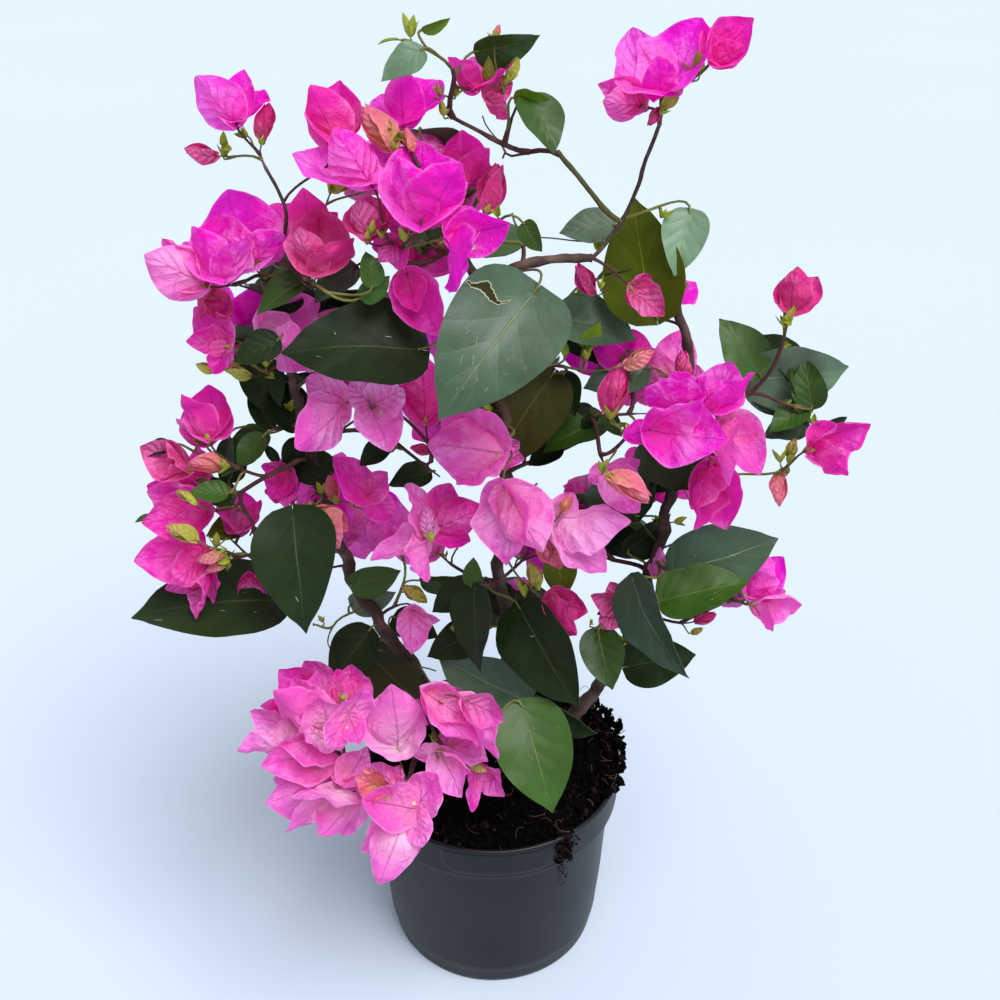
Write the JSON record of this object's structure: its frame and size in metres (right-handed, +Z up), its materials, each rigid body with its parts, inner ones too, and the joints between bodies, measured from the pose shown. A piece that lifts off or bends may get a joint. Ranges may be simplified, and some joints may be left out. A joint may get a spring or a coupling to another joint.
{
  "type": "potted bougainvillea bush",
  "caption": "Flowering shrub grown as a broad flat fan in a round nursery pot, with woody stems, green leaves and clusters of papery pink bracts.",
  "frame": {"origin": "middle of the pot's flat underside", "axes": "+Z up along the pot's axis; -Y is the plant's front; +X is the plant's right as seen from the front"},
  "size_m": [0.4279, 0.2195, 0.6042],
  "materials": {
    "pot_plastic": "satin",
    "potting_soil": "matte",
    "bark": "matte",
    "green_shoot": "satin",
    "leaves": "satin",
    "bracts": "matte"
  },
  "bodies": {
    "root": {"back_centre": "leaves", "back_crown": "bracts", "back_left_low": "bracts", "back_left_upper": "leaves", "back_low": "leaves", "back_right_low": "leaves", "back_right_upper": "bracts", "bloom_centre": "bracts", "bloom_centre_left": "bracts", "bloom_centre_left_low": "bracts", "bloom_centre_low": "bracts", "bloom_centre_right": "bracts", "bloom_crown_front": "bracts", "bloom_crown_left": "bracts", "bloom_crown_right": "bracts", "bloom_far_right": "bracts", "bloom_left_lower": "bracts", "bloom_left_small": "bracts", "bloom_left_upper": "bracts", "bloom_low_front": "bracts", "bloom_low_hang": "bracts", "bloom_low_left": "bracts", "bloom_low_right": "bracts", "bloom_right_lower": "bracts", "bloom_right_tip": "bracts", "bloom_right_upper": "bracts", "bloom_top_left": "bracts", "bloom_top_right": "bracts", "bloom_upper_left": "bracts", "bough_arc": "bark", "bough_centre_left": "bark", "bough_centre_right": "bark", "bough_right": "bark", "leaf_centre_front": "leaves", "leaf_left_front": "leaves", "leaf_left_hang": "leaves", "leaf_pot_front": "leaves", "leaf_top_right": "leaves", "leaves_centre_back": "leaves", "leaves_centre_low": "leaves", "leaves_centre_top": "leaves", "leaves_left": "leaves", "leaves_left_low": "leaves", "leaves_right_hang": "leaves", "leaves_right_low": "leaves", "leaves_right_mid": "leaves", "leaves_right_top": "leaves", "leaves_upper_right": "leaves", "pot": "pot_plastic", "shoot_top": "green_shoot", "soil": "potting_soil", "stem_centre": "bark", "stem_front": "bark", "stem_left": "bark", "stem_right": "bark", "tip_top": "leaves", "twig_top_left": "bark", "twig_top_right": "bark"}
  },
  "joints": []
}
